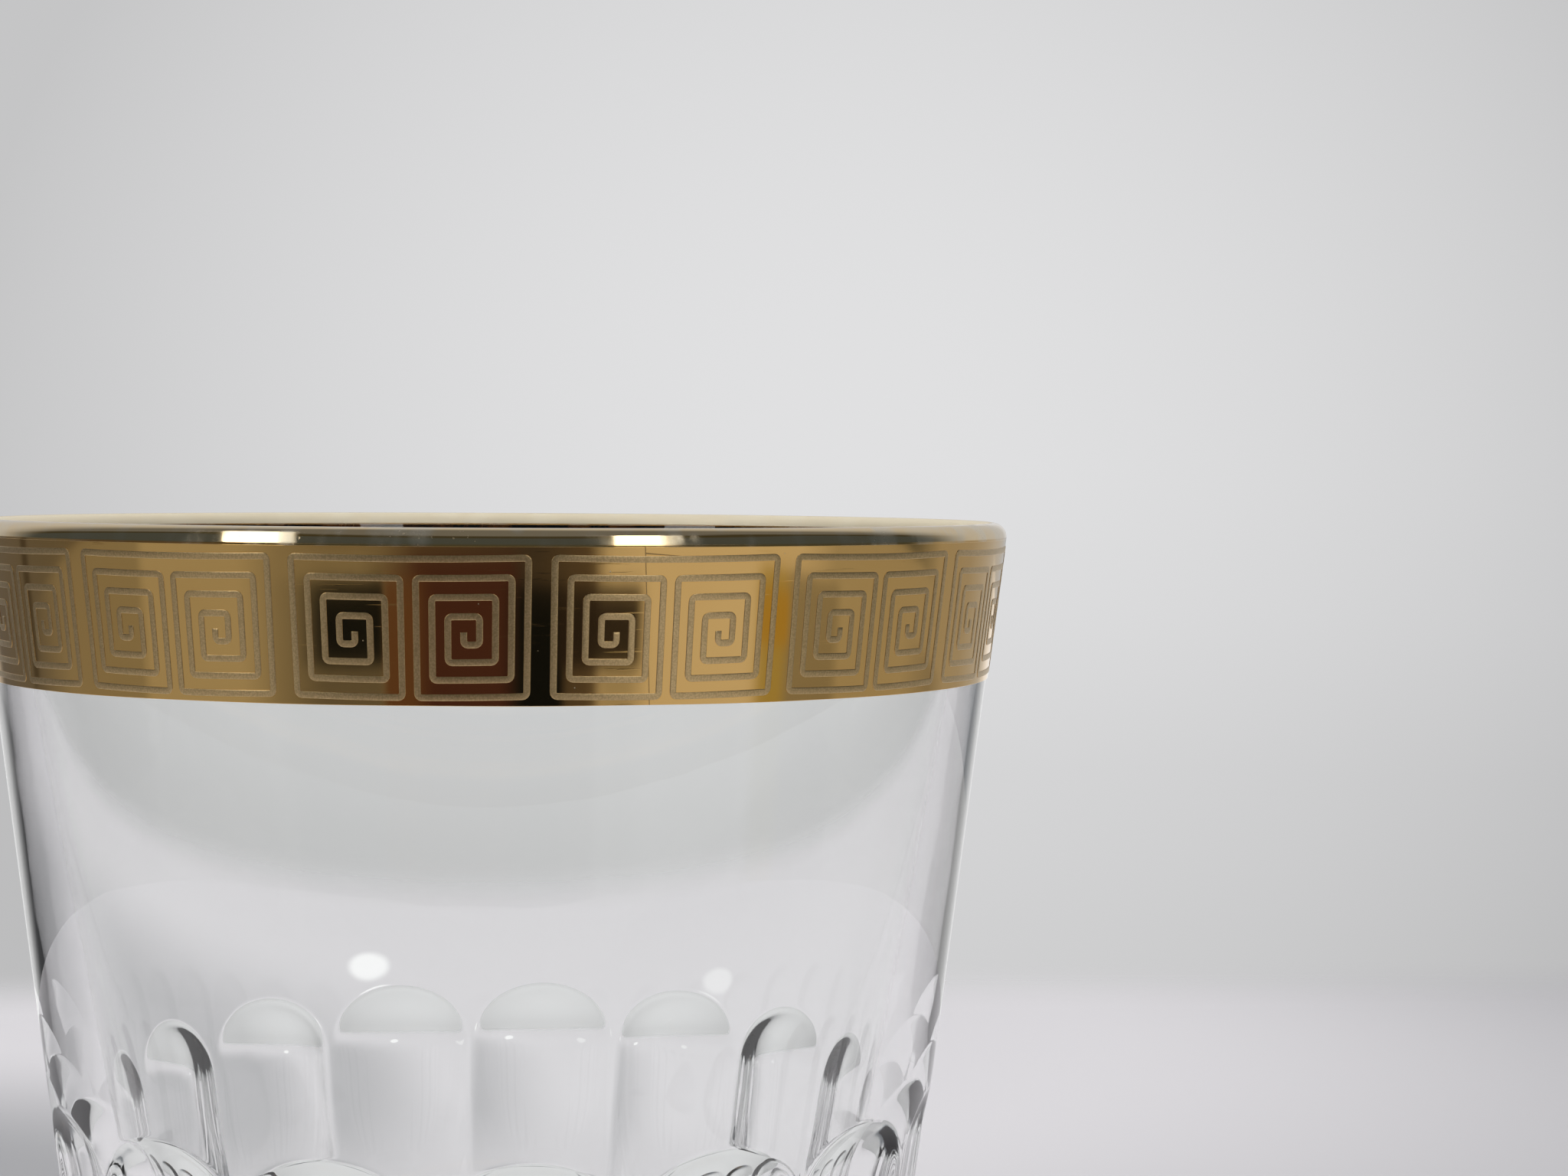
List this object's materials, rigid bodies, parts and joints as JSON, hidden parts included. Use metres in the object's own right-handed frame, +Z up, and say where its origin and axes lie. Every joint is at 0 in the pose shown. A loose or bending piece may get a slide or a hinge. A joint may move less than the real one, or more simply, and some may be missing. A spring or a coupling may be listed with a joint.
{
  "type": "whisky tumbler",
  "caption": "Flared whisky tumbler of clear heavy glass, fluted round its lower half, with a gilt lip and a gold band that carries a matt Greek key.",
  "frame": {"origin": "middle of the base, on the surface that the glass stands on", "axes": "+Z up along the glass's axis, -Y towards the pictured front"},
  "size_m": [0.0824, 0.0824, 0.0921],
  "materials": {
    "clear_glass": "clear, fire polished",
    "bright_gold": "bright fired gold",
    "matt_gold": "matt, finely stippled",
    "rim_gold": "bright fired gold, lightly scratched"
  },
  "bodies": {
    "root": {"tumbler": "clear_glass", "gold_band": "bright_gold", "key_fret": "matt_gold", "rim_gilding": "rim_gold"}
  },
  "joints": []
}
